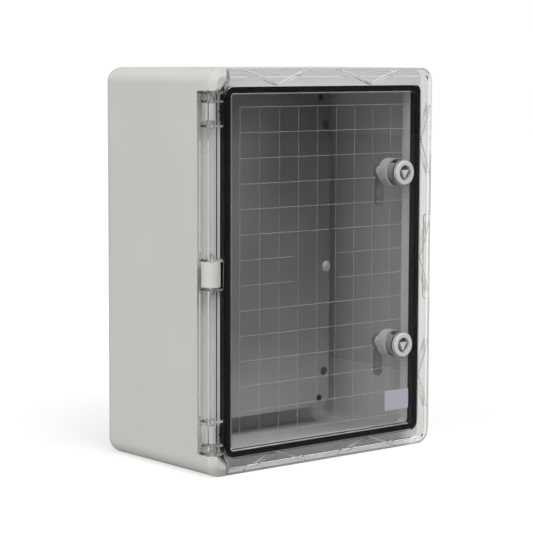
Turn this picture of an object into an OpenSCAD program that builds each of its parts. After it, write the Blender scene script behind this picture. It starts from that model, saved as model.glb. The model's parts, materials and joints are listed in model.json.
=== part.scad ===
// Wall cabinet for electrical gear: a moulded grey base, a clear hinged door with two key locks,
// and a steel plate inside.
// The origin is under the middle of the whole box. +X is right, +Y goes to the wall, +Z is up. Millimetres.
// Depths are counted from the door's front face towards the wall.

/* [Cabinet] */
// Width across the side walls
cab_w = 300; // [280:1:360]
// Height
cab_h = 400; // [370:1:480]
// Depth from the door's front face to the back
cab_d = 181; // [165:1:240]
// Radius of the four long edges
corner_r = 15; // [14.5:0.5:18]
// Radius of the edges round the back
back_r = 14; // [8:0.5:14]
// Wall of the base
base_wall = 3; // [2.4:0.1:3.6]
// Height of the shallow panel in each side wall
panel_h = 254; // [200:1:280]
// Depth of that panel in the wall
panel_cut = 1; // [0.5:0.1:1.4]
// Distance of that panel behind the base's front flange
panel_in = 23; // [18:1:40]

/* [Door] */
// Thickness of the clear moulding
door_wall = 3; // [2.4:0.1:3.4]
// Width of the bevel on the door's front
bevel_in = 8; // [6:0.5:9]
// Depth of the bevel on the door's sides
bevel_d = 5; // [4:0.5:8]
// Depth of the door's skirt
skirt_d = 21.6; // [20.5:0.1:24]
// Gap between the skirt and the base
parting_gap = 0.6; // [0.4:0.1:1]
// Thickness of the stiffening ribs
rib_t = 1.6; // [1:0.1:2.4]
// Depth of the stiffening ribs behind the front panel
rib_d = 7; // [4:0.5:9]
// Half length of each V of ribs
rib_run = 42; // [30:1:48]
// Distance between the two V's along the top and the bottom
rib_pitch_x = 125; // [110:1:140]
// Distance between neighbouring V's on the lock side
rib_pitch_z = 125; // [110:1:130]
// Length of the finger grip in the door's lock side
grip_l = 91; // [60:1:110]
// Distance of the finger grip's rear edge behind the door's front
grip_far = 15.5; // [13:0.5:17]
// Depth of the finger grip in the side
grip_cut = 1.2; // [0.6:0.1:1.4]
// Radius of the finger grip's rear corners
grip_r = 4; // [2:0.5:5]

/* [Gasket] */
// Distance of the gasket from the cabinet's sides
seal_in_x = 20; // [19.5:0.1:22]
// Distance of the gasket from the cabinet's top and underside
seal_in_z = 18; // [17.5:0.1:20]
// Width of the gasket
seal_w = 5.8; // [4.6:0.1:6.4]
// Depth of the gasket
seal_d = 9; // [7:0.5:9]
// Radius of the gasket's outer corners
seal_r = 10; // [8:0.5:12]
// Width of the rib on each side of the gasket
channel_t = 1.5; // [1:0.1:1.5]
// Depth of the ribs on each side of the gasket
channel_d = 5; // [3:0.5:5]

/* [Collar] */
// Thickness of the base's collar that meets the gasket
collar_t = 2.6; // [2:0.1:3]
// Gap between the collar's rim and the gasket
collar_gap = 0.3; // [0.2:0.05:0.6]
// Thickness of the flange between the collar and the outer wall
flange_t = 3; // [2.4:0.1:3.6]

/* [Hinge] */
// Distance of the hinge axis from the side
hinge_in = 9.5; // [9.3:0.1:9.7]
// Distance of the hinge axis behind the door's front
hinge_d = 12; // [11.8:0.1:12.2]
// Diameter of the hinge pins
pin_d = 4; // [3:0.1:5]
// Radial clearance round the pins
pin_gap = 0.05; // [0.02:0.01:0.1]
// Diameter of the upper and lower knuckles of the base
knuckle_d = 9.6; // [8:0.1:10]
// Height of the upper and lower knuckles
knuckle_h = 16.5; // [12:0.5:18]
// Distance of those knuckles' middle from the cabinet's ends
knuckle_in = 41.75; // [41:0.25:60]
// Height of the middle lug of the base
lug_h = 24; // [18:0.5:30]
// Diameter of the door's hinge bosses
boss_d = 8; // [7:0.2:10.4]
// Height of each hinge boss
boss_h = 6; // [4:0.5:6.5]
// Thickness of the plates that carry the hinge bosses
boss_plate_t = 2.2; // [1.6:0.1:2.6]
// How far the pins stand out of the hinge bosses
pin_past = 1.5; // [0.5:0.1:2]
// Gap along the pins between knuckles and bosses
side_gap = 0.6; // [0.4:0.1:1]
// Radius of the trough in the base that the skirt turns in
trough_r = 13.6; // [13:0.1:13.8]
// Thickness of the arms that carry the knuckles
arm_t = 5; // [4:0.5:5]

/* [Corner posts] */
// Height of the corner posts on the hinge side
post_h = 21.5; // [20:0.5:25]
// Radius of a post about the hinge axis at its end
post_r = 15.2; // [14.5:0.1:16]
// Radius of a post about the hinge axis next to the skirt
post_tip_r = 11; // [9:0.1:11.2]
// Height of the slanted stretch of a post
post_slant = 9.5; // [7:0.5:11]
// Distance from the hinge axis at which a post's 45 degree side would meet the cabinet's end
post_nose = 19.6; // [18:0.1:21]
// Gap between the posts and the door
post_gap = 0.4; // [0.3:0.05:0.6]

/* [Locks] */
// Distance of the lock axes from the lock side
lock_in = 55; // [50:1:70]
// Distance between the two locks
lock_pitch = 180; // [150:1:240]
// How far the middle of the two locks lies above the cabinet's middle
lock_rise = 2; // [0:0.5:4]
// How far the lock's face stands in front of the door
lock_proud = 13.5; // [12.5:0.5:16]
// Diameter of the lock's head
head_d = 25; // [22:0.2:27]
// Thickness of the lock's head
head_t = 4; // [3:0.5:5]
// Diameter of the shank through the door
shank_d = 19; // [17.6:0.2:20]
// Diameter of the key recess
recess_d = 15.8; // [14:0.2:17]
// Depth of the key recess
recess_deep = 10; // [8:0.5:11]
// Length of the triangular key stud's sides
key_side = 10; // [8:0.2:11]
// Diameter of the turning shaft
shaft_d = 12; // [11:0.2:13]
// Wall of the clear boss round the lock's head
lock_ring_t = 1.1; // [0.8:0.1:1.8]
// How far that boss stands in front of the door
lock_ring_h = 12; // [11:0.5:12]
// Diameter of the clamping nut
nut_d = 29; // [26:0.5:32]
// Depth of the clamping nut
nut_h = 12; // [8:0.5:15]
// Thickness of the lock's sealing washer
washer_t = 1.5; // [1:0.1:2]
// Reach of the cam from the lock's axis
cam_l = 37; // [36:1:46]
// Width of the cam
cam_w = 10; // [9:0.5:14]
// Thickness of the cam
cam_t = 3; // [2:0.1:3.5]
// Gap between the cam and the flange it closes behind
cam_gap = 0.6; // [0.4:0.1:1]

/* [Mounting plate] */
// Width of the plate
plate_w = 250; // [220:1:255]
// Height of the plate
plate_h = 350; // [300:1:355]
// Thickness of the plate
plate_t = 2; // [1.5:0.1:3]
// Radius of the plate's corners
plate_r = 12; // [6:0.5:14]
// Distance of the plate's front from the cabinet's back
plate_off = 41; // [30:1:60]
// Distance between the plate's screws across the cabinet
screw_x = 222; // [190:1:224]
// Distance between the plate's screws along the height
screw_z = 333; // [280:1:334]
// Diameter of the plate's screws
screw_d = 4; // [3:0.5:5]
// Diameter of the pillars that carry the plate
pillar_d = 14; // [10:0.5:18]
// Diameter of the plate's access holes
access_d = 10; // [8:0.5:14]

/* [Wall fixing] */
// Distance between the wall holes across the cabinet
fix_x = 236; // [200:1:238]
// Distance between the wall holes along the height
fix_z = 274; // [200:1:280]
// Diameter of the wall holes
fix_d = 6; // [4:0.5:8]
// Diameter of the pads round the wall holes
fix_pad_d = 16; // [12:0.5:20]
// Height of those pads above the back wall
fix_pad_h = 4; // [2:0.5:8]

/* [Hidden] */
$fn = 64;

base_grey = "#C8CAC4";
clear_tint = [0.86, 0.9, 0.9, 0.4];
seal_black = "#17151A";
lock_grey = "#DADBD6";
zinc = "#A9ABAC";
steel = "#B9BBBC";

// Overlap of solids that are fused, and the spare length of cuts
fuse = 0.5;
spare = 1;
mid_z = cab_h / 2;
half_w = cab_w / 2;
y_front = lock_proud - (cab_d + lock_proud) / 2;
hinge_x = hinge_in - half_w;
hinge_y = y_front + hinge_d;

// Inset bevel: how its two ends shift with the wall
bevel_slope = bevel_in / bevel_d;
bevel_shift = sqrt(1 + bevel_slope * bevel_slope);

// Gasket, collar and mouth
seal_outer_w = cab_w - 2 * seal_in_x;
seal_outer_h = cab_h - 2 * seal_in_z;
collar_in = (seal_w - collar_t) / 2;
collar_w = seal_outer_w - 2 * collar_in;
collar_h = seal_outer_h - 2 * collar_in;
collar_r = seal_r - collar_in;
collar_rim = door_wall + seal_d + collar_gap;
mouth_w = collar_w - 2 * collar_t;
mouth_h = collar_h - 2 * collar_t;
mouth_r = collar_r - collar_t;

// Base
base_front = skirt_d + parting_gap;
flange_back = base_front + flange_t;
rail_back = hinge_d + trough_r + base_wall;
back_in = cab_d - base_wall;
panel_front = flange_back + panel_in;
panel_back = cab_d - back_r - base_wall;

// Hinge: the skirt stays inside sweep_r, clear of the collar and the trough
arm_angle = 20;
arm_sink = 0.9;
skirt_past = 2;
sweep_r = hinge_in + skirt_past;
skirt_hinge_d = hinge_d + sqrt(sweep_r * sweep_r - hinge_in * hinge_in);
window_past = 1.5;
window_front = hinge_d + window_past;
window_gap = 1.5;
notch_r = 13;
notch_x = 7.5;
notch_gap = 1.2;
strip_gap = 0.5;
end_wall_t = 2.5;
post_wall_t = 2;
channel_x = half_w - seal_in_x + channel_t;
end_pin_l = knuckle_h + 2 * (side_gap + boss_h + pin_past);
lug_pin_l = lug_h + 2 * (notch_gap + boss_h + pin_past);

// Locks
lock_x = half_w - lock_in;
lock_zs = [mid_z + lock_rise - lock_pitch / 2, mid_z + lock_rise + lock_pitch / 2];
head_far = head_t - lock_proud;
head_seat = head_far + washer_t;
run_gap = 0.05;
slip_gap = 0.3;
nut_far = door_wall + nut_h;
shank_past = 3;
shank_far = nut_far + shank_past;
cam_near = flange_back + cam_gap;
cam_far = cam_near + cam_t;
tenon = 8;
hub_wall = 4;
key_proud = 6.5;
barrel_head_t = 3;
recess_floor = recess_deep - lock_proud;
cam_screw_d = 5;
cam_screw_l = 12;
cam_screw_head_d = 14;
cam_screw_head_t = 2.4;

// Plate
plate_near = cab_d - plate_off;
plate_far = plate_near + plate_t;
screw_l = 18;
pilot_deep = screw_l + 2 * spare;

// Outline in X and Z, between two depths
module deep(near, far) {
    translate([0, y_front + far, 0])
        rotate([90, 0, 0])
            linear_extrude(far - near)
                children();
}

// Outline in X and depth, between two heights
module upright(low, high) {
    translate([0, y_front, low])
        linear_extrude(high - low)
            children();
}

// Outline in depth and Z, between two places across the cabinet
module across(left, right) {
    translate([left, y_front, 0])
        rotate([90, 0, 90])
            linear_extrude(right - left)
                children();
}

// Round solid about an axis along the depth
module round_deep(x, z, near, far, r1, r2) {
    translate([x, y_front + near, z])
        rotate([-90, 0, 0])
            cylinder(h = far - near, r1 = r1, r2 = is_undef(r2) ? r1 : r2);
}

// Round solid about the hinge axis
module round_hinge(low, high, r1, r2) {
    translate([hinge_x, hinge_y, low])
        cylinder(h = high - low, r1 = r1, r2 = is_undef(r2) ? r1 : r2);
}

// Box from one corner to the other, with depths in the middle
module block(low, high) {
    translate([low[0], y_front + low[1], low[2]])
        cube(high - low);
}

// Children at the corners of an upright rectangle round the cabinet's middle
module at_corners(w, h) {
    for (sx = [-1, 1], sz = [-1, 1])
        translate([sx * w / 2, 0, mid_z + sz * h / 2])
            children();
}

// What the lower end has, at both ends
module both_ends() {
    children();
    translate([0, 0, cab_h])
        mirror([0, 0, 1])
            children();
}

// Rounded rectangle round the cabinet's middle
module rounded(w, h, r) {
    translate([0, mid_z]) {
        square([w - 2 * r, h], center = true);
        square([w, h - 2 * r], center = true);
        for (sx = [-1, 1], sz = [-1, 1])
            translate([sx * (w / 2 - r), sz * (h / 2 - r)])
                circle(r);
    }
}

module ring(w, h, r, t) {
    difference() {
        rounded(w, h, r);
        rounded(w - 2 * t, h - 2 * t, r - t);
    }
}

// Half section of the bevelled front, out to reach, as far back as far
module front_half(reach, inset, far) {
    out = reach - inset;
    lip = reach - bevel_in + (bevel_slope - bevel_shift) * inset;
    edge = bevel_d + (bevel_shift - 1) / bevel_slope * inset;
    polygon([[0, inset], [lip, inset], [out, edge], [out, far], [0, far]]);
}

// Half section of the rounded back, out to reach, from near to the back
module back_half(reach, inset, near) {
    out = reach - inset;
    far = cab_d - inset;
    r = back_r - inset;
    polygon([[0, near], [out, near], [out, far - r], [out - r, far - r], [out - r, far], [0, far]]);
    translate([out - r, far - r])
        intersection() {
            circle(r);
            square(r);
        }
}

module half_section(front, reach, inset, limit) {
    if (front)
        front_half(reach, inset, limit);
    else
        back_half(reach, inset, limit);
}

module full_section(front, reach, inset, limit) {
    half_section(front, reach, inset, limit);
    mirror([1, 0])
        half_section(front, reach, inset, limit);
}

// The cabinet's outer form, or one inset from it: its front up to limit, or its back from limit
module envelope(front, inset, limit) {
    x = half_w - corner_r;
    z = mid_z - corner_r;
    for (sx = [-1, 1], sz = [-1, 1])
        translate([sx * x, y_front, mid_z + sz * z])
            rotate([-90, 0, 0])
                rotate_extrude()
                    half_section(front, corner_r, inset, limit);
    upright(corner_r, cab_h - corner_r)
        full_section(front, half_w, inset, limit);
    across(-x, x)
        translate([0, mid_z])
            mirror([1, -1])
                full_section(front, mid_z, inset, limit);
}

// Limit of a lower corner post, moved in or out by grow: round about the hinge axis,
// and full between the axis and the side from the depth full_from on
module post_limit(grow, full_from) {
    slant_z = post_h - post_slant;
    round_hinge(-spare, slant_z, post_r + grow);
    round_hinge(slant_z, post_h + grow, post_r + grow, post_tip_r + grow);
    block([-half_w - spare, full_from, -spare], [hinge_x, flange_back + spare, post_h + grow]);
}

// Front outline of a lower corner post with its 45 degree side, moved in by inset
module post_outline(inset) {
    left = -half_w - spare;
    nose = hinge_x + post_nose - sqrt(2) * inset;
    polygon([[left, -spare], [nose + spare, -spare], [nose - post_h, post_h], [left, post_h]]);
}

// Hollow corner post that fills the gap beside the door's slanted corner
module corner_post() {
    intersection() {
        envelope(true, 0, flange_back);
        post_limit(0, hinge_d);
        deep(-spare, flange_back + spare)
            post_outline(0);
    }
}

module corner_post_core() {
    intersection() {
        envelope(true, base_wall, flange_back + spare);
        post_limit(-base_wall, hinge_d);
        deep(-spare, flange_back + 2 * spare)
            post_outline(base_wall);
    }
}

// Knuckle of the base with the arm that carries it
module knuckle(z, h, d) {
    translate([hinge_x, hinge_y, z - h / 2])
        linear_extrude(h) {
            circle(d / 2);
            rotate(arm_angle)
                translate([0, -arm_t / 2])
                    square([trough_r + arm_sink, arm_t]);
        }
}

module base_tub() {
    difference() {
        union() {
            difference() {
                envelope(false, 0, base_front);
                envelope(false, base_wall, flange_back);
            }
            block([-half_w, base_front, post_h], [-mouth_w / 2, rail_back, cab_h - post_h]);
            both_ends()
                corner_post();
        }
        both_ends()
            corner_post_core();
        round_hinge(post_h, cab_h - post_h, trough_r);
        deep(base_front - spare, rail_back + spare)
            rounded(mouth_w, mouth_h, mouth_r);
        for (side = [-1, 1])
            deep(panel_front, panel_back)
                translate([side * (half_w - base_wall), mid_z])
                    square([2 * panel_cut, panel_h], center = true);
    }
}

module base_shell() {
    color(base_grey)
        difference() {
            union() {
                base_tub();
                deep(collar_rim, flange_back)
                    ring(collar_w, collar_h, collar_r, collar_t);
                both_ends()
                    knuckle(knuckle_in, knuckle_h, knuckle_d);
                knuckle(mid_z, lug_h, 2 * hinge_in);
                at_corners(screw_x, screw_z)
                    round_deep(0, 0, plate_far, back_in + fuse, pillar_d / 2);
                at_corners(fix_x, fix_z)
                    round_deep(0, 0, back_in - fix_pad_h, back_in + fuse, fix_pad_d / 2);
            }
            both_ends()
                round_hinge(knuckle_in - knuckle_h, knuckle_in + knuckle_h, pin_d / 2 + pin_gap);
            round_hinge(mid_z - lug_h, mid_z + lug_h, pin_d / 2 + pin_gap);
            at_corners(screw_x, screw_z)
                round_deep(0, 0, plate_far - spare, plate_far + pilot_deep, screw_d / 2);
            at_corners(fix_x, fix_z)
                round_deep(0, 0, back_in - fix_pad_h - spare, cab_d + spare, fix_d / 2);
        }
}

module mounting_plate() {
    color(steel)
        difference() {
            deep(plate_near, plate_far)
                rounded(plate_w, plate_h, plate_r);
            at_corners(screw_x, screw_z)
                round_deep(0, 0, plate_near, plate_far, screw_d, screw_d / 2);
            at_corners(fix_x, fix_z)
                round_deep(0, 0, plate_near - spare, plate_far + spare, access_d / 2);
        }
}

// Countersunk screws with a cross slot: the head fills the plate's thickness
module plate_screws() {
    slot_t = screw_d / 5;
    slot_l = screw_d * 1.1;
    color(zinc)
        at_corners(screw_x, screw_z)
            difference() {
                union() {
                    round_deep(0, 0, plate_near, plate_far, screw_d - run_gap, screw_d / 2);
                    round_deep(0, 0, plate_far - fuse, plate_far + screw_l, screw_d / 2 - run_gap);
                }
                deep(plate_near - spare, plate_near + plate_t / 2) {
                    square([slot_t, slot_l], center = true);
                    square([slot_l, slot_t], center = true);
                }
            }
}

// Steel pin with chamfered ends
module hinge_pin(z, l) {
    r = pin_d / 2;
    chamfer = r / 4;
    color(steel) {
        round_hinge(z - l / 2, z - l / 2 + chamfer, r - chamfer, r);
        round_hinge(z - l / 2 + chamfer, z + l / 2 - chamfer, r);
        round_hinge(z + l / 2 - chamfer, z + l / 2, r, r - chamfer);
    }
}

// Wall across the hinge side, no further from the axis than the skirt
module hinge_wall(low, high) {
    intersection() {
        round_hinge(low, high, sweep_r);
        block([-half_w, 0, low], [fuse - channel_x, skirt_hinge_d, high]);
        envelope(true, door_wall / 2, skirt_d);
    }
}

// Hinge boss of the door and the plate that carries it across the hinge side
module hinge_boss(low, plate_low) {
    round_hinge(low, low + boss_h, boss_d / 2);
    hinge_wall(plate_low, plate_low + boss_plate_t);
}

// Rib of the door from the gasket's channel towards an end knuckle
module knuckle_rib() {
    block([hinge_x + knuckle_d / 2 + side_gap, door_wall - fuse, knuckle_in - rib_t / 2],
        [fuse - channel_x, door_wall + channel_d, knuckle_in + rib_t / 2]);
}

// Hinge side of the door's lower half, up to the middle lug
module hinge_half() {
    outer = knuckle_in - knuckle_h / 2 - side_gap;
    inner = knuckle_in + knuckle_h / 2 + side_gap;
    lug = mid_z - lug_h / 2 - notch_gap;
    hinge_wall(post_h + strip_gap, post_h + strip_gap + end_wall_t);
    knuckle_rib();
    hinge_boss(outer - boss_h, outer - boss_plate_t);
    hinge_boss(inner, inner + boss_h - boss_plate_t);
    hinge_boss(lug - boss_h, lug - boss_plate_t);
}

// Clear wall along the slanted corner, cut free of the corner post later
module post_wall() {
    far_x = hinge_x + 2 * post_r;
    intersection() {
        envelope(true, door_wall / 2, skirt_d);
        post_limit(post_gap + post_wall_t, -spare);
        union() {
            block([hinge_x, 0, 0], [far_x, collar_rim - side_gap, post_h + strip_gap + end_wall_t]);
            block([hinge_x, 0, 0], [far_x, skirt_d, post_h - post_slant]);
        }
    }
}

// One V of ribs: its point on the gasket's rib, its arms out to the skirt
module rib_vee(reach) {
    for (side = [-1, 1])
        rotate(side * atan(reach / rib_run))
            translate([side > 0 ? 0 : -norm([rib_run, reach]), -rib_t / 2])
                square([norm([rib_run, reach]), rib_t]);
}

module stiffening_ribs() {
    rise = seal_in_z - channel_t - door_wall / 2;
    out = seal_in_x - channel_t - door_wall / 2;
    intersection() {
        envelope(true, door_wall / 2, skirt_d);
        deep(door_wall - fuse, door_wall + rib_d)
            union() {
                for (side = [-1, 1], end = [-1, 1])
                    translate([side * rib_pitch_x / 2, mid_z + end * (seal_outer_h / 2 + channel_t)])
                        rotate(end > 0 ? 0 : 180)
                            rib_vee(rise);
                for (step = [-1, 0, 1])
                    translate([channel_x, mid_z + step * rib_pitch_z])
                        rotate(-90)
                            rib_vee(out);
            }
    }
}

// Shallow pocket for the fingers in the lock side, open to the bevel
module finger_grip() {
    straight = grip_far - grip_r + spare;
    across(half_w - grip_cut, half_w + spare)
        translate([-spare, mid_z]) {
            translate([0, -grip_l / 2])
                square([straight, grip_l]);
            translate([0, grip_r - grip_l / 2])
                square([straight + grip_r, grip_l - 2 * grip_r]);
            for (side = [-1, 1])
                translate([straight, side * (grip_l / 2 - grip_r)])
                    circle(grip_r);
        }
}

module door_solid() {
    difference() {
        envelope(true, 0, skirt_d);
        envelope(true, door_wall, skirt_d + spare);
    }
    deep(door_wall - fuse, door_wall + channel_d) {
        ring(seal_outer_w + 2 * channel_t, seal_outer_h + 2 * channel_t,
            seal_r + channel_t, channel_t);
        ring(seal_outer_w - 2 * seal_w, seal_outer_h - 2 * seal_w, seal_r - seal_w, channel_t);
    }
    stiffening_ribs();
    both_ends() {
        hinge_half();
        post_wall();
    }
    for (z = lock_zs)
        round_deep(lock_x, z, -lock_ring_h, fuse, head_d / 2 + slip_gap + lock_ring_t);
}

// Room for the base's middle lug
module lug_notch() {
    low = mid_z - lug_h / 2 - notch_gap;
    high = mid_z + lug_h / 2 + notch_gap;
    intersection() {
        round_hinge(low, high, notch_r);
        block([hinge_x - 2 * notch_r, -spare, low], [hinge_x + notch_x, skirt_d + spare, high]);
    }
}

// Opening in the skirt for an end knuckle's arm
module knuckle_window() {
    half = knuckle_h / 2 + window_gap;
    block([-half_w - spare, window_front, knuckle_in - half],
        [hinge_x - knuckle_d / 2 - side_gap, skirt_d + spare, knuckle_in + half]);
}

module door_panel() {
    color(clear_tint)
        difference() {
            door_solid();
            both_ends() {
                post_limit(post_gap, -spare);
                knuckle_window();
            }
            lug_notch();
            block([-half_w - spare, skirt_hinge_d, 0], [hinge_x, skirt_d + spare, cab_h]);
            round_hinge(post_h, cab_h - post_h, pin_d / 2 + pin_gap);
            deep(door_wall, skirt_d + spare)
                ring(seal_outer_w, seal_outer_h, seal_r, seal_w);
            for (z = lock_zs) {
                round_deep(lock_x, z, -lock_ring_h - spare, head_seat, head_d / 2 + slip_gap);
                round_deep(lock_x, z, head_seat - spare, door_wall + spare, shank_d / 2 + slip_gap);
            }
            finger_grip();
        }
}

module door_gasket() {
    color(seal_black)
        deep(door_wall, door_wall + seal_d)
            ring(seal_outer_w, seal_outer_h, seal_r, seal_w);
}

// Lock housing: head sunk in the clear boss, shank through the door
module lock_housing(z) {
    r = head_d / 2;
    chamfer = 0.8;
    color(lock_grey)
        difference() {
            union() {
                round_deep(lock_x, z, -lock_proud, chamfer - lock_proud, r - chamfer, r);
                round_deep(lock_x, z, chamfer - lock_proud, head_far, r);
                round_deep(lock_x, z, head_far - fuse, shank_far, shank_d / 2);
            }
            round_deep(lock_x, z, -lock_proud - spare, recess_floor, recess_d / 2);
            round_deep(lock_x, z, recess_floor - spare, shank_far + spare, shaft_d / 2 + run_gap);
        }
}

module lock_seal(z) {
    color(seal_black)
        difference() {
            round_deep(lock_x, z, head_far, head_seat, head_d / 2);
            round_deep(lock_x, z, head_far - spare, head_seat + spare, shank_d / 2 + run_gap);
        }
}

// Round clamping nut with spanner slots in its rear face
module lock_nut(z) {
    r = nut_d / 2;
    chamfer = 1;
    slot_w = 3;
    slot_d = 3;
    color(lock_grey)
        difference() {
            union() {
                round_deep(lock_x, z, door_wall, nut_far - chamfer, r);
                round_deep(lock_x, z, nut_far - chamfer, nut_far, r, r - chamfer);
            }
            round_deep(lock_x, z, door_wall - spare, nut_far + spare, shank_d / 2 + run_gap);
            deep(nut_far - slot_d, nut_far + spare)
                translate([lock_x, z]) {
                    square([slot_w, nut_d + spare], center = true);
                    square([nut_d + spare, slot_w], center = true);
                }
        }
}

// Turning barrel: key stud in front, shaft, and a square tenon for the cam
module lock_barrel(z) {
    head_near = recess_floor - barrel_head_t;
    color(lock_grey)
        difference() {
            union() {
                deep(head_near - key_proud, head_near + fuse)
                    translate([lock_x, z])
                        rotate(-90)
                            circle(r = key_side / sqrt(3), $fn = 3);
                round_deep(lock_x, z, head_near, recess_floor, recess_d / 2 - run_gap);
                round_deep(lock_x, z, recess_floor - fuse, cam_near, shaft_d / 2);
                deep(cam_near - fuse, cam_far - run_gap)
                    translate([lock_x, z])
                        square(tenon, center = true);
            }
            round_deep(lock_x, z, cam_far - cam_screw_l - spare, cam_far + spare,
                cam_screw_d / 2 + run_gap);
        }
}

// Cam that closes behind the flange; at rest it hangs down, unlocked
module lock_cam(z) {
    hub = tenon / 2 + hub_wall;
    color(zinc)
        deep(cam_near, cam_far)
            translate([lock_x, z])
                difference() {
                    union() {
                        circle(hub);
                        translate([-cam_w / 2, cam_w / 2 - cam_l])
                            square([cam_w, cam_l - cam_w / 2]);
                        translate([0, cam_w / 2 - cam_l])
                            circle(cam_w / 2);
                    }
                    square(tenon + 2 * run_gap, center = true);
                }
}

// Screw with a wide head that holds the cam on the tenon
module lock_cam_screw(z) {
    r = cam_screw_head_d / 2;
    rim = 0.8 * r;
    slot_l = 1.4 * cam_screw_d;
    slot_t = cam_screw_d / 4;
    color(steel)
        difference() {
            union() {
                round_deep(lock_x, z, cam_far, cam_far + cam_screw_head_t, r, rim);
                round_deep(lock_x, z, cam_far - cam_screw_l, cam_far + fuse, cam_screw_d / 2);
            }
            deep(cam_far + cam_screw_head_t / 2, cam_far + cam_screw_head_t + spare)
                translate([lock_x, z])
                    square([slot_l, slot_t], center = true);
        }
}

base_shell();
mounting_plate();
plate_screws();
hinge_pin(cab_h - knuckle_in, end_pin_l);  // hinge_pin_top
hinge_pin(mid_z, lug_pin_l);  // hinge_pin_middle
hinge_pin(knuckle_in, end_pin_l);  // hinge_pin_bottom
door_panel();
door_gasket();
lock_housing(lock_zs[1]);  // lock_housing_upper
lock_seal(lock_zs[1]);  // lock_seal_upper
lock_nut(lock_zs[1]);  // lock_nut_upper
lock_barrel(lock_zs[1]);  // lock_barrel_upper
lock_cam(lock_zs[1]);  // lock_cam_upper
lock_cam_screw(lock_zs[1]);  // lock_cam_screw_upper
lock_housing(lock_zs[0]);  // lock_housing_lower
lock_seal(lock_zs[0]);  // lock_seal_lower
lock_nut(lock_zs[0]);  // lock_nut_lower
lock_barrel(lock_zs[0]);  // lock_barrel_lower
lock_cam(lock_zs[0]);  // lock_cam_lower
lock_cam_screw(lock_zs[0]);  // lock_cam_screw_lower
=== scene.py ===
import json
import math

import bmesh
import bpy
from mathutils import Matrix, Vector


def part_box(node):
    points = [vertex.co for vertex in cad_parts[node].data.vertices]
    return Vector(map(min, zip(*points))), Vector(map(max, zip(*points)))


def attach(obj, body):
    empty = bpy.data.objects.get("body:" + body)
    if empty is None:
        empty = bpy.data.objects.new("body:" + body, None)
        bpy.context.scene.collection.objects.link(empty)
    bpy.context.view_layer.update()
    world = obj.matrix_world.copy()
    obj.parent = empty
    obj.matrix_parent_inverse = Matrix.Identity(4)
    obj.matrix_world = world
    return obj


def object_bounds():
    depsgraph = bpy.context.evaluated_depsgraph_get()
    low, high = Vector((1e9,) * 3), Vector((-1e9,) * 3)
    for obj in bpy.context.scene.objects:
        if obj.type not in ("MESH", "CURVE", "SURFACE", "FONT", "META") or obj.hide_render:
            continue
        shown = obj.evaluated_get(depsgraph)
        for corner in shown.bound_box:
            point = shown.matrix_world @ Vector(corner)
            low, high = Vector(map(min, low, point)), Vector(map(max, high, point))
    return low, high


# Looks of a wall cabinet with a clear hinged door. Metres, +Z up, the door faces -Y.

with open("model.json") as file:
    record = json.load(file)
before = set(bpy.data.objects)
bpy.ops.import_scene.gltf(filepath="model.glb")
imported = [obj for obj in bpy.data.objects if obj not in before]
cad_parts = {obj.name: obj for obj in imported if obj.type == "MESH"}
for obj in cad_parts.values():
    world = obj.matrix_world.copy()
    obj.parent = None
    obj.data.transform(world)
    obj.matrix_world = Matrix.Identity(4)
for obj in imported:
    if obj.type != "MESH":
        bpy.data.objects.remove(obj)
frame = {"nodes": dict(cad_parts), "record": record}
cad_low, cad_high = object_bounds()

# Walls of the door and of its gasket's channel, and the rise of the ribs on the door's inner face
DOOR_WALL = 0.003
CHANNEL_WALL = 0.0015
RIB_DEEP = 0.007

# Where the door's faces and its ribs' rear edges are, and the middle of the base
DOOR_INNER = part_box("door_gasket")[0].y
DOOR_FRONT = DOOR_INNER - DOOR_WALL
RIB_EDGE = DOOR_INNER + RIB_DEEP
BASE_LOW, BASE_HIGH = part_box("base_shell")
MID_X = (BASE_LOW.x + BASE_HIGH.x) / 2
MID_Z = (BASE_LOW.z + BASE_HIGH.z) / 2

# The mounting plate
PLATE_LOW, PLATE_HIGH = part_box("mounting_plate")
PLATE_MIDDLE = (PLATE_LOW + PLATE_HIGH) / 2
PLATE_HALF = (PLATE_HIGH - PLATE_LOW) / 2

# Space between the plate and the base's back, where a painted shadow darkens the back wall: its middle and
# reach along Y, its reach past the plate's sides, and the range of the faces' normals that look into it
BACK_SKIN = 0.001
SPACE_REACH = (BASE_HIGH.y - BACK_SKIN - PLATE_HIGH.y) / 2
SPACE_Y = PLATE_HIGH.y + SPACE_REACH
SPACE_SIDE = 0.030
SPACE_NORMAL, SPACE_NORMAL_REACH = -0.6, 0.5

# Painted highlight along the root of the gasket channel's inner rib, a pale bead: half sizes of its middle
# line, and its corner radius
SEAL_LOW, SEAL_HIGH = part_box("door_gasket")
RIM_IN = 0.00655
RIM_HALF_X = (SEAL_HIGH.x - SEAL_LOW.x) / 2 - RIM_IN
RIM_HALF_Z = (SEAL_HIGH.z - SEAL_LOW.z) / 2 - RIM_IN
RIM_RADIUS = 0.00345
RIM_WIDTH = 0.0013
RIM_PROUD = 0.0002

# Rows of V-shaped ribs between the gasket's channel and the door's upper and lower walls: middles and
# reach along Z, half of a row's length, and its reach along Y
RIB_ROW_CLEAR = 0.0004
RIB_ROW_LOW = (SEAL_LOW.z - CHANNEL_WALL + DOOR_WALL) / 2
RIB_ROWS = (RIB_ROW_LOW, 2 * MID_Z - RIB_ROW_LOW)
RIB_ROW_REACH = RIB_ROW_LOW - DOOR_WALL - RIB_ROW_CLEAR
RIB_ROW_HALF = 0.127
RIB_ROW_DEEP = 0.0033

# Finger grip in the door's lock side: its floor, where it starts and ends, its corners, and the width of
# their line
GRIP_FLOOR = BASE_HIGH.x - 0.00118
GRIP_FRONT, GRIP_REAR = DOOR_FRONT + 0.0062, DOOR_FRONT + 0.0155
GRIP_HALF = 0.0455
GRIP_RADIUS = 0.004
GRIP_EDGE = 0.0008

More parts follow.
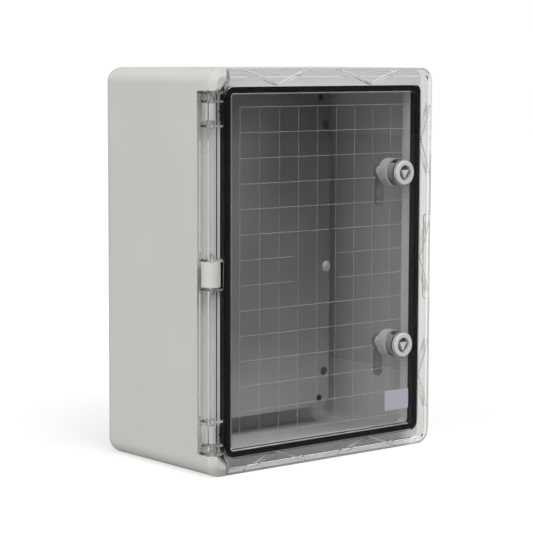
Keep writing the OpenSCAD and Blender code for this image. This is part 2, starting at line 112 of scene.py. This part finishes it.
# Side frames of the door, and the bevel and side wall on the lock side: middles and reaches along X
SIDE_REACH = 0.0125
LOCK_SIDE_X = 0.1405
HINGE_SIDE_X = -LOCK_SIDE_X
LOCK_EDGE_X, LOCK_EDGE_REACH = 0.1480, 0.0060

# Front of the base's flange, and the height below which a face belongs to the bottom wall
FLANGE_Y = DOOR_FRONT + 0.022
BOTTOM_REACH = 0.02

# Shanks of the locks behind their heads, darkened by painted shade: middle and reach along Y
SHANK_Y, SHANK_REACH = DOOR_FRONT + 0.0010, 0.0104

# Shallow panel in each side wall: where it is across, and its middle and reach along Y and Z
WALL_PANEL_X = BASE_HIGH.x - 0.002
WALL_PANEL_Y, WALL_PANEL_Y_REACH = DOOR_FRONT + 0.1061, 0.0577
WALL_PANEL_Z_REACH = 0.1268

# How near to a face's place, or to a direction, still counts as on it
PANEL_NEAR = 0.0004
FLANGE_NEAR = 0.0005
RIB_EDGE_NEAR = 0.0002
SQUARE_NEAR = 0.1
FLAT_NEAR = 0.2

# Camera of the photograph
CAMERA_PLACE = Vector((-1.3205, -1.58355, 0.4143))
CAMERA_RIGHT = Vector((0.7708, -0.63707, 0.00307))
CAMERA_UP = Vector((0.06595, 0.08458, 0.99423))
CAMERA_FAR = 50
SENSOR = 36.0
LENS = 133.73
LENS_SHIFT_Y = 0.001

# Square grid moulded in the door's inner face
GRID_PITCH = 0.025
GRID_COLUMNS = 10
GRID_ROWS = 14
GRID_WIDTH = 0.0005
GRID_PROUD = 0.00022

# The two middle rows stop on both sides of the gate mark
GRID_BREAK_LEFT, GRID_BREAK_RIGHT = -0.044, 0.016

# Mark of the moulding gate in the middle of the door; its profile, from the middle outwards, is in shares
# of its radius and its rise
GATE_RADIUS = 0.0055
GATE_PROUD = 0.0006
GATE_PROFILE = ((0.0, 0.8), (0.35, 0.7), (0.5, 0.2), (0.7, 0.15), (0.8, 0.6), (0.92, 0.5), (1.0, 0.0))
GATE_WELD = GATE_RADIUS / 1000

# Blank sticker in the door's lower corner; its edge is straight for a share of its thickness
STICKER_LEFT, STICKER_RIGHT = 0.0812, 0.1150
STICKER_LOW, STICKER_TOP = 0.0417, 0.0628
STICKER_RADIUS = 0.0018
STICKER_THICK = 0.00018
STICKER_STRAIGHT = 0.6

# Steps round a half-round bead, round a corner's quarter turn, and round the gate mark
BEAD_STEPS = 4
CORNER_STEPS = 6
ROUND_STEPS = 32

# Range of the noise's values that is spread over what it drives, and how far the roughness of mouldings
# and of metal varies by it
NOISE_LOW, NOISE_HIGH = 0.35, 0.65
MOULD_SPREAD = 0.06
METAL_SPREAD = 0.1

# Clear moulding: its colour, the tint of its mirror images, and the light that passes straight through it
CLEAR_TINT = (0.915, 0.918, 0.93)
CLEAR_MIRROR = (0.08, 0.08, 0.08, 1)
CLEAR_PASS = (0.985, 0.987, 0.985, 1)

# Its refraction in the middle and at the side frames; painted shade darkens the lock side's edge and the
# hinge side, and the lock side gets a warmer cast
CLEAR_IOR, LOCK_SIDE_IOR, HINGE_SIDE_IOR = 1.45, 1.20, 1.30
LOCK_EDGE_PAINTED_SHADE = (0.80, 0.80, 0.80)
LOCK_SIDE_TONE = (1.0, 1.0, 0.97)
HINGE_SIDE_PAINTED_SHADE = (0.93, 0.93, 0.93)

# Its matt faces: the share of light that they still let through and their roughness; polished faces stay
# below a roughness of their own
MATT_CLEAR = 0.4
MATT_ROUGH = 0.45
POLISH_ROUGH = 0.02

# Painted light and shade on the plate's enamel. Each patch has a tone and the fades that bound it: an axis,
# the place where the patch ends, and the place from which it shows in full
PLATE_PAINTED_LIGHT = (
    # Painted light, paler low down
    (1.45, (("Z", 0.11, 0.06),)),
    # Painted sheen, paler in a band left of the middle, below the top
    (1.65, (("X", MID_X + 0.055, MID_X), ("Z", 0.19, 0.29), ("Z", 0.365, 0.32))),
    # Painted shade, duller to the right, above the lower third
    (0.80, (("X", MID_X, PLATE_HIGH.x), ("Z", 0.13, 0.20))),
    # Painted shade, darkest in the upper right corner
    (0.65, (("X", MID_X + 0.03, PLATE_HIGH.x), ("Z", 0.30, 0.36))),
)

# Level of the world's light on surfaces, and of what is seen once it was mirrored; the floor's colour,
# its own light, half its size and its gap below the object
AMBIENT = 0.05
GLOSS_LEVEL = 0.35
FLOOR_COLOUR = (0.45, 0.45, 0.45, 1)
FLOOR_LIFT = 0.62
FLOOR_HALF = 6.0
FLOOR_GAP = 0.0002

# What lies behind the cabinet, to its right: where it starts along X and Y, and its ends along Z
BEHIND_START = -0.1
BEHIND_LOW, BEHIND_TOP = -2.25, 0.25


# Node helpers

def new_material(name):
    """A material with an empty tree, its tree and its output node."""
    material = bpy.data.materials.new(name)
    material.use_nodes = True
    tree = material.node_tree
    tree.nodes.clear()
    output = tree.nodes.new("ShaderNodeOutputMaterial")
    return material, tree, output


def node(tree, kind, **values):
    """A new node, with attributes or named inputs set."""
    made = tree.nodes.new("ShaderNode" + kind)
    for name, value in values.items():
        if name in made.inputs.keys():
            made.inputs[name].default_value = value
        else:
            setattr(made, name, value)
    return made


def principled(tree, colour, roughness, **inputs):
    """A Principled shader with plain values."""
    shader = tree.nodes.new("ShaderNodeBsdfPrincipled")
    shader.inputs["Base Color"].default_value = (*colour, 1)
    shader.inputs["Roughness"].default_value = roughness
    for name, value in inputs.items():
        shader.inputs[name.replace("_", " ")].default_value = value
    return shader


def coordinate(tree, axis, source="Object"):
    """The object's own coordinate along an axis, or that of another source."""
    coordinates = node(tree, "TexCoord")
    split = node(tree, "SeparateXYZ")
    tree.links.new(coordinates.outputs[source], split.inputs[0])
    return split.outputs[axis]


def at_place(tree, axis, place, reach, mirrored=False, source="Object"):
    """1 where a coordinate, or its size where mirrored, lies within reach of a place."""
    value = coordinate(tree, axis, source)
    if mirrored:
        size = node(tree, "Math", operation="ABSOLUTE")
        tree.links.new(value, size.inputs[0])
        value = size.outputs[0]
    made = node(tree, "Math", operation="COMPARE")
    tree.links.new(value, made.inputs[0])
    made.inputs[1].default_value = place
    made.inputs[2].default_value = reach
    return made.outputs[0]


def joined(tree, operation, first, *others):
    """Values joined one after the other by one operation."""
    for other in others:
        made = node(tree, "Math", operation=operation)
        tree.links.new(first, made.inputs[0])
        tree.links.new(other, made.inputs[1])
        first = made.outputs[0]
    return first


def raised(tree, value, mask, amount):
    """A value, plus an amount where the mask is 1."""
    made = node(tree, "Math", operation="MULTIPLY_ADD")
    tree.links.new(mask, made.inputs[0])
    made.inputs[1].default_value = amount
    tree.links.new(value, made.inputs[2])
    return made.outputs[0]


def remap(tree, value, low, high, start=0.0, end=1.0):
    """From low to high while a value goes from start to end, and held there past its ends."""
    made = tree.nodes.new("ShaderNodeMapRange")
    for name, number in (("From Min", start), ("From Max", end), ("To Min", low), ("To Max", high)):
        made.inputs[name].default_value = number
    tree.links.new(value, made.inputs["Value"])
    return made.outputs["Result"]


def noise(tree, scale, detail=3.0):
    """Noise over the object's own coordinates; scale is per metre."""
    place = node(tree, "TexCoord")
    made = node(tree, "TexNoise", Scale=scale, Detail=detail)
    tree.links.new(place.outputs["Object"], made.inputs["Vector"])
    return made.outputs["Fac"]


def varied(tree, low, high, scale, detail=3.0):
    """A value between low and high, by a noise."""
    return remap(tree, noise(tree, scale, detail), low, high, NOISE_LOW, NOISE_HIGH)


def mottled(tree, dark, light, scale, detail=3.0):
    """A colour between two, by a noise."""
    made = tree.nodes.new("ShaderNodeMix")
    made.data_type = "RGBA"
    made.inputs["A"].default_value = (*dark, 1)
    made.inputs["B"].default_value = (*light, 1)
    tree.links.new(varied(tree, 0.0, 1.0, scale, detail), made.inputs["Factor"])
    return made.outputs["Result"]


def shaded(tree, mask, colour, tone):
    """The colour, times a tone where the mask is 1."""
    made = node(tree, "Mix", data_type="RGBA", blend_type="MULTIPLY")
    tree.links.new(mask, made.inputs["Factor"])
    tree.links.new(colour, made.inputs["A"])
    made.inputs["B"].default_value = (*tone, 1)
    return made.outputs["Result"]


def toned(tree, colour, tones):
    """The colour, times each tone on the faces that its mask picks."""
    for mask, tone in tones:
        colour = shaded(tree, mask(tree), colour, tone)
    return colour


def bump(tree, height, strength, distance):
    """A normal from a height, with distance in metres."""
    made = node(tree, "Bump", Strength=strength, Distance=distance)
    tree.links.new(height, made.inputs["Height"])
    return made.outputs["Normal"]


def finish_material(tree, output, shader, colour, roughness, normal=None):
    """Links what varies over the surface, and the output."""
    for socket, name in ((colour, "Base Color"), (roughness, "Roughness"), (normal, "Normal")):
        if socket is not None:
            tree.links.new(socket, shader.inputs[name])
    tree.links.new(shader.outputs[0], output.inputs["Surface"])


def grey(level):
    """A neutral colour or tone."""
    return (level, level, level)


# Masks

def wall_panels(tree):
    """1 on the shallow panels in the side walls."""
    return joined(tree, "MULTIPLY", at_place(tree, "X", WALL_PANEL_X, PANEL_NEAR, mirrored=True),
                  at_place(tree, "Y", WALL_PANEL_Y, WALL_PANEL_Y_REACH),
                  at_place(tree, "Z", MID_Z, WALL_PANEL_Z_REACH))


def flange_painted_light(tree):
    """1 on the base's front flange, which the door covers, where painted light brightens it with a bluish
    cast.
    """
    return joined(tree, "MULTIPLY", at_place(tree, "Y", FLANGE_Y, FLANGE_NEAR),
                  at_place(tree, "Y", -1.0, SQUARE_NEAR, source="Normal"))


def floor_painted_shade(tree):
    """1 on the bottom wall's inner face, which painted shade makes a little darker."""
    return joined(tree, "MULTIPLY", at_place(tree, "Z", BASE_LOW.z, BOTTOM_REACH),
                  at_place(tree, "Z", 1.0, SQUARE_NEAR, source="Normal"))


def plate_painted_shadow(tree):
    """1 on the back wall's inner face and rounded corners, behind the plate and close beside it, where a
    painted shadow darkens it.
    """
    return joined(tree, "MULTIPLY", at_place(tree, "X", PLATE_MIDDLE.x, PLATE_HALF.x + SPACE_SIDE),
                  at_place(tree, "Y", SPACE_Y, SPACE_REACH),
                  at_place(tree, "Z", PLATE_MIDDLE.z, PLATE_HALF.z),
                  at_place(tree, "Y", SPACE_NORMAL, SPACE_NORMAL_REACH, source="Normal"))


def shank_painted_shade(tree):
    """1 on the locks behind their heads, which painted shade darkens."""
    return at_place(tree, "Y", SHANK_Y, SHANK_REACH)


def flat_faces_painted_shade(tree):
    """1 on faces that look to the front or the back, which are made darker than the edges, as painted light
    and shade.
    """
    return at_place(tree, "Y", 1.0, FLAT_NEAR, mirrored=True, source="Normal")


def frame_ribs(tree):
    """1 on the V-shaped ribs in the door's upper and lower frame."""
    rows = [at_place(tree, "Z", place, RIB_ROW_REACH) for place in RIB_ROWS]
    return joined(tree, "MULTIPLY", joined(tree, "MAXIMUM", *rows),
                  at_place(tree, "X", MID_X, RIB_ROW_HALF), at_place(tree, "Y", RIB_EDGE, RIB_ROW_DEEP))


# Masks of a slot's parts, with the tone of each against the slot's own colour: darker panels in the side
# walls, painted light on the flange, painted shade on the inner floor, on the lock shanks and on the cams'
# faces, and a painted shadow behind the plate
BODY_PANELS_AND_PAINTED_LIGHT = (
    (wall_panels, grey(0.84)),
    (flange_painted_light, (1.29, 1.29, 1.34)),
    (floor_painted_shade, grey(0.95)),
    (plate_painted_shadow, grey(0.35)),
)
LOCK_PAINTED_SHADE = ((shank_painted_shade, grey(0.42)),)
CAM_PAINTED_SHADE = ((flat_faces_painted_shade, grey(0.8)),)


# Materials

def moulded_plastic(name, light, dark, roughness, grain, gloss=0.5, tones=()):
    """Opaque moulding with a fine spark-eroded grain, slight flow marks, and the painted light and shade
    that its tones put on some faces.
    """
    material, tree, output = new_material(name)
    shader = principled(tree, light, roughness, IOR=1.5, Specular_IOR_Level=gloss)
    colour = toned(tree, mottled(tree, dark, light, scale=9.0, detail=4.0), tones)
    rough = varied(tree, roughness - MOULD_SPREAD, roughness + MOULD_SPREAD, scale=60.0)
    normal = bump(tree, noise(tree, scale=1900.0, detail=2.0), strength=grain, distance=0.00008)
    finish_material(tree, output, shader, colour, rough, normal)
    return material


def clear_plastic(name):
    """Polished clear moulding, with painted shade on its side frames. Lamps and scattered light pass
    straight through it.
    """
    material, tree, output = new_material(name)
    shader = principled(tree, CLEAR_TINT, roughness=0.0, IOR=CLEAR_IOR, Transmission_Weight=1.0,
                        Specular_Tint=CLEAR_MIRROR)
    lock_side = at_place(tree, "X", LOCK_SIDE_X, SIDE_REACH)
    lock_edge_shade = at_place(tree, "X", LOCK_EDGE_X, LOCK_EDGE_REACH)
    hinge_side = at_place(tree, "X", HINGE_SIDE_X, SIDE_REACH)
    tint = node(tree, "RGB")
    tint.outputs[0].default_value = (*CLEAR_TINT, 1)
    colour = shaded(tree, lock_edge_shade, tint.outputs[0], LOCK_EDGE_PAINTED_SHADE)
    colour = shaded(tree, lock_side, colour, LOCK_SIDE_TONE)
    colour = shaded(tree, hinge_side, colour, HINGE_SIDE_PAINTED_SHADE)
    tree.links.new(colour, shader.inputs["Base Color"])
    refraction = remap(tree, lock_side, CLEAR_IOR, LOCK_SIDE_IOR)
    refraction = raised(tree, refraction, hinge_side, HINGE_SIDE_IOR - CLEAR_IOR)
    tree.links.new(refraction, shader.inputs["IOR"])
    matt = joined(tree, "MAXIMUM", at_place(tree, "Y", RIB_EDGE, RIB_EDGE_NEAR), frame_ribs(tree))
    tree.links.new(remap(tree, matt, 1.0, MATT_CLEAR), shader.inputs["Transmission Weight"])
    rough = raised(tree, varied(tree, low=0.0, high=POLISH_ROUGH, scale=40.0), matt, MATT_ROUGH)
    tree.links.new(rough, shader.inputs["Roughness"])
    through = node(tree, "BsdfTransparent", Color=CLEAR_PASS)
    path = node(tree, "LightPath")
    surface = shader.outputs[0]
    for kind in ("Is Diffuse Ray", "Is Shadow Ray"):
        mix = node(tree, "MixShader")
        tree.links.new(path.outputs[kind], mix.inputs["Fac"])
        tree.links.new(surface, mix.inputs[1])
        tree.links.new(through.outputs[0], mix.inputs[2])
        surface = mix.outputs[0]
    tree.links.new(surface, output.inputs["Surface"])
    return material


def foam_rubber(name):
    """Black cellular rubber with a dull skin."""
    material, tree, output = new_material(name)
    light, dark = (0.017, 0.014, 0.017), (0.008, 0.007, 0.009)
    shader = principled(tree, light, roughness=0.62, IOR=1.5, Specular_IOR_Level=0.03)
    colour = mottled(tree, dark, light, scale=160.0)
    rough = varied(tree, low=0.5, high=0.75, scale=300.0)
    normal = bump(tree, noise(tree, scale=900.0, detail=2.0), strength=0.5, distance=0.0002)
    finish_material(tree, output, shader, colour, rough, normal)
    return material


def plated_metal(name, light, dark, roughness, grain_scale, tones=()):
    """Metal with a fine drawn grain and cloudy plating, and painted shade on some of its faces."""
    material, tree, output = new_material(name)
    shader = principled(tree, light, roughness, Metallic=1.0)
    colour = toned(tree, mottled(tree, dark, light, scale=120.0), tones)
    rough = varied(tree, roughness - METAL_SPREAD, roughness + METAL_SPREAD, grain_scale, detail=4.0)
    normal = bump(tree, noise(tree, grain_scale), strength=0.25, distance=0.00005)
    finish_material(tree, output, shader, colour, rough, normal)
    return material


def painted_sheet(name):
    """Grey stove enamel on sheet steel, with a fine orange peel, and painted light and shade over it."""
    material, tree, output = new_material(name)
    light, dark = (0.25, 0.252, 0.25), (0.23, 0.232, 0.23)
    shader = principled(tree, light, roughness=0.45, IOR=1.5)
    colour = mottled(tree, dark, light, scale=14.0)
    for tone, fades in PLATE_PAINTED_LIGHT:
        parts = [remap(tree, coordinate(tree, axis), 0.0, 1.0, end, full) for axis, end, full in fades]
        colour = shaded(tree, joined(tree, "MULTIPLY", *parts), colour, grey(tone))
    rough = varied(tree, low=0.38, high=0.52, scale=70.0)
    normal = bump(tree, noise(tree, scale=700.0, detail=2.0), strength=0.3, distance=0.00008)
    finish_material(tree, output, shader, colour, rough, normal)
    return material


def frosted_line(name, alpha):
    """Matt moulded lines in the clear door, which catch the light, and the painted highlight along the
    gasket channel's inner rib.
    """
    material, tree, output = new_material(name)
    light, dark = (0.85, 0.87, 0.84), (0.62, 0.64, 0.61)
    shader = principled(tree, light, roughness=0.5, IOR=1.45, Alpha=alpha)
    colour = mottled(tree, dark, light, scale=50.0)
    rough = varied(tree, low=0.4, high=0.6, scale=90.0)
    finish_material(tree, output, shader, colour, rough)
    return material


def sticker_paper(name):
    """Pale satin sticker with a faint fibre."""
    material, tree, output = new_material(name)
    light, dark = (0.49, 0.495, 0.57), (0.44, 0.445, 0.52)
    shader = principled(tree, light, roughness=0.4, IOR=1.45)
    colour = mottled(tree, dark, light, scale=500.0)
    rough = varied(tree, low=0.33, high=0.47, scale=150.0)
    normal = bump(tree, noise(tree, scale=1500.0), strength=0.2, distance=0.00004)
    finish_material(tree, output, shader, colour, rough, normal)
    return material


# Meshes

def mesh_piece(name, points, faces, material, body, smooth=False):
    """A piece from points and faces, riding on a body."""
    mesh = bpy.data.meshes.new(name)
    mesh.from_pydata(points, [], faces)
    mesh.update()
    tidy = bmesh.new()
    tidy.from_mesh(mesh)
    bmesh.ops.recalc_face_normals(tidy, faces=tidy.faces)
    tidy.to_mesh(mesh)
    tidy.free()
    for face in mesh.polygons:
        face.use_smooth = smooth
    piece = bpy.data.objects.new(name, mesh)
    bpy.context.scene.collection.objects.link(piece)
    mesh.materials.append(material)
    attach(piece, body)
    return piece


def add_rings(faces, first, count, rings):
    """Faces between closed rings of points, each with the next one, from the first point on."""
    for ring in range(first, first + count * (rings - 1), count):
        for k in range(count):
            following = (k + 1) % count
            faces.append((ring + k, ring + following, ring + count + following, ring + count + k))


def add_bead(points, faces, places, width, proud):
    """One closed half-round bead along places, each a point and the direction across; proud is its rise."""
    count = BEAD_STEPS + 1
    first = len(points)
    for place, across in places:
        for step in range(count):
            turn = math.pi * step / BEAD_STEPS
            points.append(place + across * (width / 2 * math.cos(turn)) + proud * math.sin(turn))
    add_rings(faces, first, count, len(places))
    faces.append(tuple(range(first, first + count)))
    faces.append(tuple(range(len(points) - count, len(points))))


def add_ridge(points, faces, start, end, across):
    """One ridge of the grid on the door's inner face, between two places given by X and Z."""
    places = [(Vector((x, DOOR_INNER, z)), across) for x, z in (start, end)]
    add_bead(points, faces, places, GRID_WIDTH, Vector((0, GRID_PROUD, 0)))


def build_grid(row_material, column_material):
    """Columns run through, and rows go from column to column."""
    half_x = GRID_PITCH * (GRID_COLUMNS - 1) / 2
    half_z = GRID_PITCH * (GRID_ROWS - 1) / 2
    columns = [MID_X - half_x + GRID_PITCH * k for k in range(GRID_COLUMNS)]
    rows = [MID_Z - half_z + GRID_PITCH * k for k in range(GRID_ROWS)]
    points, faces = [], []
    for x in columns:
        add_ridge(points, faces, (x, rows[0]), (x, rows[-1]), Vector((1, 0, 0)))
    mesh_piece("door_grid_columns", points, faces, column_material, "door")
    points, faces = [], []
    for z in rows:
        broken = abs(z - MID_Z) < GRID_PITCH
        for left, right in zip(columns, columns[1:]):
            first, last = left + GRID_WIDTH / 2, right - GRID_WIDTH / 2
            if broken and first > GRID_BREAK_LEFT and last < GRID_BREAK_RIGHT:
                continue
            if broken and first < GRID_BREAK_LEFT:
                last = min(last, GRID_BREAK_LEFT)
            elif broken and last > GRID_BREAK_RIGHT:
                first = max(first, GRID_BREAK_RIGHT)
            add_ridge(points, faces, (first, z), (last, z), Vector((0, 0, 1)))
    mesh_piece("door_grid_rows", points, faces, row_material, "door")


def quarter_turn(start):
    """Angles round a corner, a quarter turn on from a start in degrees."""
    return [math.radians(start + 90 * k / CORNER_STEPS) for k in range(CORNER_STEPS + 1)]


def rim_place(x, z, turn):
    """A place in the root of the channel's inner rib, and the direction across."""
    return Vector((x, DOOR_INNER - 2 * RIM_PROUD, z)), Vector((math.cos(turn), 0, math.sin(turn)))


def rim_corner(end, start):
    """Places round a hinge-side corner of the rib, at its upper end (1) or its lower end (-1)."""
    x = MID_X - RIM_HALF_X + RIM_RADIUS
    z = MID_Z + end * (RIM_HALF_Z - RIM_RADIUS)
    return [rim_place(x + RIM_RADIUS * math.cos(turn), z + RIM_RADIUS * math.sin(turn), turn)
            for turn in quarter_turn(start)]


def build_rim_highlight(top_material, side_material, low_material):
    """Painted highlight along the root of the gasket channel's inner rib, on the top, the hinge side and
    the bottom.
    """
    right = MID_X + RIM_HALF_X - 2 * RIM_RADIUS
    upper, lower = rim_corner(1, 90), rim_corner(-1, 180)
    runs = (("top", [rim_place(right, MID_Z + RIM_HALF_Z, math.pi / 2)] + upper, top_material),
            ("side", [upper[-1], lower[0]], side_material),
            ("low", lower + [rim_place(right, MID_Z - RIM_HALF_Z, 3 * math.pi / 2)], low_material))
    for name, places, material in runs:
        points, faces = [], []
        add_bead(points, faces, places, RIM_WIDTH, Vector((0, RIM_PROUD, 0)))
        mesh_piece("rim_highlight_" + name, points, faces, material, "door", smooth=True)


def build_grip_edge(material):
    """Matt corner of the finger grip's floor: in along its upper end, down its rear edge and out again."""
    places = []
    for end, start in ((1, 0), (-1, -90)):
        middle = Vector((GRIP_FLOOR, GRIP_REAR - GRIP_RADIUS, MID_Z + end * (GRIP_HALF - GRIP_RADIUS)))
        for turn in reversed(quarter_turn(start)):
            across = Vector((0, math.cos(turn), math.sin(turn)))
            places.append((middle + across * (GRIP_RADIUS - GRIP_EDGE), across))
    ends = [(Vector((place.x, GRIP_FRONT, place.z)), across) for place, across in (places[0], places[-1])]
    points, faces = [], []
    add_bead(points, faces, ends[:1] + places + ends[1:], GRIP_EDGE, Vector((GRIP_EDGE / 2, 0, 0)))
    mesh_piece("grip_edge_line", points, faces, material, "door", smooth=True)


def build_gate_mark(material):
    """Round gate mark: a low ring with a domed middle."""
    points, faces = [], []
    for radius, height in GATE_PROFILE:
        for k in range(ROUND_STEPS):
            angle = 2 * math.pi * k / ROUND_STEPS
            points.append((MID_X + GATE_RADIUS * radius * math.cos(angle), DOOR_INNER + GATE_PROUD * height,
                           MID_Z + GATE_RADIUS * radius * math.sin(angle)))
    add_rings(faces, 0, ROUND_STEPS, len(GATE_PROFILE))
    faces.append(tuple(range(len(points) - ROUND_STEPS, len(points))))
    piece = mesh_piece("door_gate_mark", points, faces, material, "door", smooth=True)
    weld = bmesh.new()
    weld.from_mesh(piece.data)
    bmesh.ops.remove_doubles(weld, verts=weld.verts, dist=GATE_WELD)
    weld.to_mesh(piece.data)
    weld.free()


def build_sticker(material):
    """Blank sticker with round corners and a rolled edge, on the door's front."""
    middle_x, middle_z = (STICKER_LEFT + STICKER_RIGHT) / 2, (STICKER_LOW + STICKER_TOP) / 2
    corner_x = (STICKER_RIGHT - STICKER_LEFT) / 2 - STICKER_RADIUS
    corner_z = (STICKER_TOP - STICKER_LOW) / 2 - STICKER_RADIUS
    layers = ((STICKER_RADIUS, 0.0), (STICKER_RADIUS, STICKER_STRAIGHT),
              (STICKER_RADIUS - STICKER_THICK / 2, 1.0))
    points, faces = [], []
    for radius, lift in layers:
        for side, end, start in ((1, 1, 0), (-1, 1, 90), (-1, -1, 180), (1, -1, 270)):
            for turn in quarter_turn(start):
                points.append((middle_x + side * corner_x + radius * math.cos(turn),
                               DOOR_FRONT - STICKER_THICK * lift,
                               middle_z + end * corner_z + radius * math.sin(turn)))
    count = len(points) // len(layers)
    add_rings(faces, 0, count, len(layers))
    faces.append(tuple(range(count)))
    faces.append(tuple(range(len(points) - count, len(points))))
    mesh_piece("blank_sticker", points, faces, material, "door")


# Studio

def seen_directly(tree):
    """1 for what is seen, less once it was mirrored, unless it lies behind; 0 for scattered light."""
    path = node(tree, "LightPath")
    rays = [path.outputs["Is %s Ray" % kind] for kind in ("Camera", "Glossy", "Transmission")]
    unscattered = remap(tree, path.outputs["Diffuse Depth"], 1.0, 0.0)
    gloss = remap(tree, path.outputs["Glossy Depth"], 1.0, GLOSS_LEVEL)
    behind = joined(tree, "MULTIPLY", at_place(tree, "X", FLOOR_HALF, FLOOR_HALF - BEHIND_START),
                    at_place(tree, "Y", FLOOR_HALF, FLOOR_HALF - BEHIND_START),
                    at_place(tree, "Z", (BEHIND_LOW + BEHIND_TOP) / 2, (BEHIND_TOP - BEHIND_LOW) / 2))
    return joined(tree, "MULTIPLY", joined(tree, "MAXIMUM", *rays), unscattered,
                  joined(tree, "MAXIMUM", gloss, behind))


def build_world():
    """White surroundings, which light the object only a little."""
    world = bpy.data.worlds.new("studio")
    bpy.context.scene.world = world
    world.use_nodes = True
    tree = world.node_tree
    tree.nodes.clear()
    background = node(tree, "Background", Color=(1, 1, 1, 1))
    level = remap(tree, seen_directly(tree), AMBIENT, 1.0)
    tree.links.new(level, background.inputs["Strength"])
    output = tree.nodes.new("ShaderNodeOutputWorld")
    tree.links.new(background.outputs[0], output.inputs["Surface"])


def build_floor():
    """Pale floor that is white where nothing shades it."""
    mesh = bpy.data.meshes.new("floor")
    height = cad_low.z - FLOOR_GAP
    corners = ((-1, -1), (1, -1), (1, 1), (-1, 1))
    mesh.from_pydata([(FLOOR_HALF * x, FLOOR_HALF * y, height) for x, y in corners], [], [(0, 1, 2, 3)])
    floor = bpy.data.objects.new("floor", mesh)
    bpy.context.scene.collection.objects.link(floor)
    material, tree, output = new_material("floor_paper")
    diffuse = node(tree, "BsdfDiffuse", Color=FLOOR_COLOUR)
    lift = node(tree, "Emission")
    level = remap(tree, seen_directly(tree), 0.0, FLOOR_LIFT)
    tree.links.new(level, lift.inputs["Strength"])
    both = node(tree, "AddShader")
    tree.links.new(diffuse.outputs[0], both.inputs[0])
    tree.links.new(lift.outputs[0], both.inputs[1])
    tree.links.new(both.outputs[0], output.inputs["Surface"])
    mesh.materials.append(material)


def add_lamp(name, azimuth, elevation, spread, strength):
    """A broad even light from far away. Azimuth 0 comes from the front, and 90 from the right; degrees."""
    lamp = bpy.data.lights.new(name, "SUN")
    lamp.angle = math.radians(spread)
    lamp.energy = strength
    holder = bpy.data.objects.new(name, lamp)
    bpy.context.scene.collection.objects.link(holder)
    turn, rise = math.radians(azimuth), math.radians(elevation)
    source = Vector((math.sin(turn) * math.cos(rise), -math.cos(turn) * math.cos(rise), math.sin(rise)))
    holder.location = source * FLOOR_HALF
    holder.visible_transmission = False
    holder.rotation_mode = "QUATERNION"
    holder.rotation_quaternion = (-source).to_track_quat("-Z", "Y")


def build_camera():
    """The camera of the photograph."""
    data = bpy.data.cameras.new("photo_camera")
    data.sensor_width = SENSOR
    data.lens = LENS
    data.shift_y = LENS_SHIFT_Y
    data.clip_end = CAMERA_FAR
    camera = bpy.data.objects.new("photo_camera", data)
    bpy.context.scene.collection.objects.link(camera)
    backward = CAMERA_RIGHT.cross(CAMERA_UP)
    turn = Matrix((CAMERA_RIGHT, CAMERA_UP, backward)).transposed()
    camera.matrix_world = Matrix.Translation(CAMERA_PLACE) @ turn.to_4x4()
    bpy.context.scene.camera = camera


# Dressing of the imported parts

SLOT_MATERIALS = {
    "body_abs": moulded_plastic("body_abs", light=(0.62, 0.625, 0.597), dark=(0.595, 0.60, 0.572),
                                roughness=0.58, grain=0.35, gloss=0.25, tones=BODY_PANELS_AND_PAINTED_LIGHT),
    "clear_pc": clear_plastic("clear_pc"),
    "seal_rubber": foam_rubber("seal_rubber"),
    "lock_plastic": moulded_plastic("lock_plastic", light=(0.65, 0.66, 0.637), dark=(0.61, 0.62, 0.597),
                                    roughness=0.38, grain=0.2, tones=LOCK_PAINTED_SHADE),
    "plate_steel": painted_sheet("plate_steel"),
    "cam_zinc": plated_metal("cam_zinc", light=grey(0.46), dark=grey(0.37), roughness=0.5,
                             grain_scale=900.0, tones=CAM_PAINTED_SHADE),
    "screw_zinc": plated_metal("screw_zinc", light=(0.60, 0.60, 0.58), dark=(0.45, 0.45, 0.44),
                               roughness=0.34, grain_scale=1400.0),
    "screw_black": plated_metal("screw_black", light=grey(0.09), dark=grey(0.06), roughness=0.4,
                                grain_scale=1400.0),
    "pin_steel": plated_metal("pin_steel", light=(0.68, 0.68, 0.67), dark=(0.56, 0.56, 0.55),
                              roughness=0.28, grain_scale=1600.0),
}

# The clamping nuts get painted shade: a darker grey than the lock's faces
NODE_MATERIALS = dict.fromkeys(
    ("lock_nut_upper", "lock_nut_lower"),
    moulded_plastic("nut_plastic_painted_shade", light=(0.48, 0.485, 0.47), dark=(0.45, 0.455, 0.44),
                    roughness=0.45, grain=0.3))

for part in frame["record"]["subparts"]:
    dressed = frame["nodes"][part["node"]]
    dressed.data.materials.clear()
    dressed.data.materials.append(NODE_MATERIALS.get(part["node"], SLOT_MATERIALS[part["material_slot"]]))

line_material = frosted_line("moulded_line", alpha=0.22)
build_grid(line_material, frosted_line("column_line", alpha=0.12))
build_gate_mark(line_material)
build_grip_edge(frosted_line("grip_line", alpha=0.9))
# Painted highlight along the channel's inner rib: bright at the bottom, faint at the top and the hinge side
build_rim_highlight(frosted_line("rim_top_highlight", alpha=0.22), frosted_line("rim_side_highlight", alpha=0.2),
                  frosted_line("rim_low_highlight", alpha=0.95))
build_sticker(sticker_paper("sticker"))

build_world()
build_floor()
add_lamp("key_light", azimuth=-4, elevation=58, spread=48, strength=2.05)
add_lamp("front_light", azimuth=-20, elevation=12, spread=60, strength=0.42)
add_lamp("left_light", azimuth=-85, elevation=25, spread=60, strength=1.85)
add_lamp("right_light", azimuth=100, elevation=25, spread=60, strength=0.8)
build_camera()
bpy.context.scene.view_settings.view_transform = "Standard"
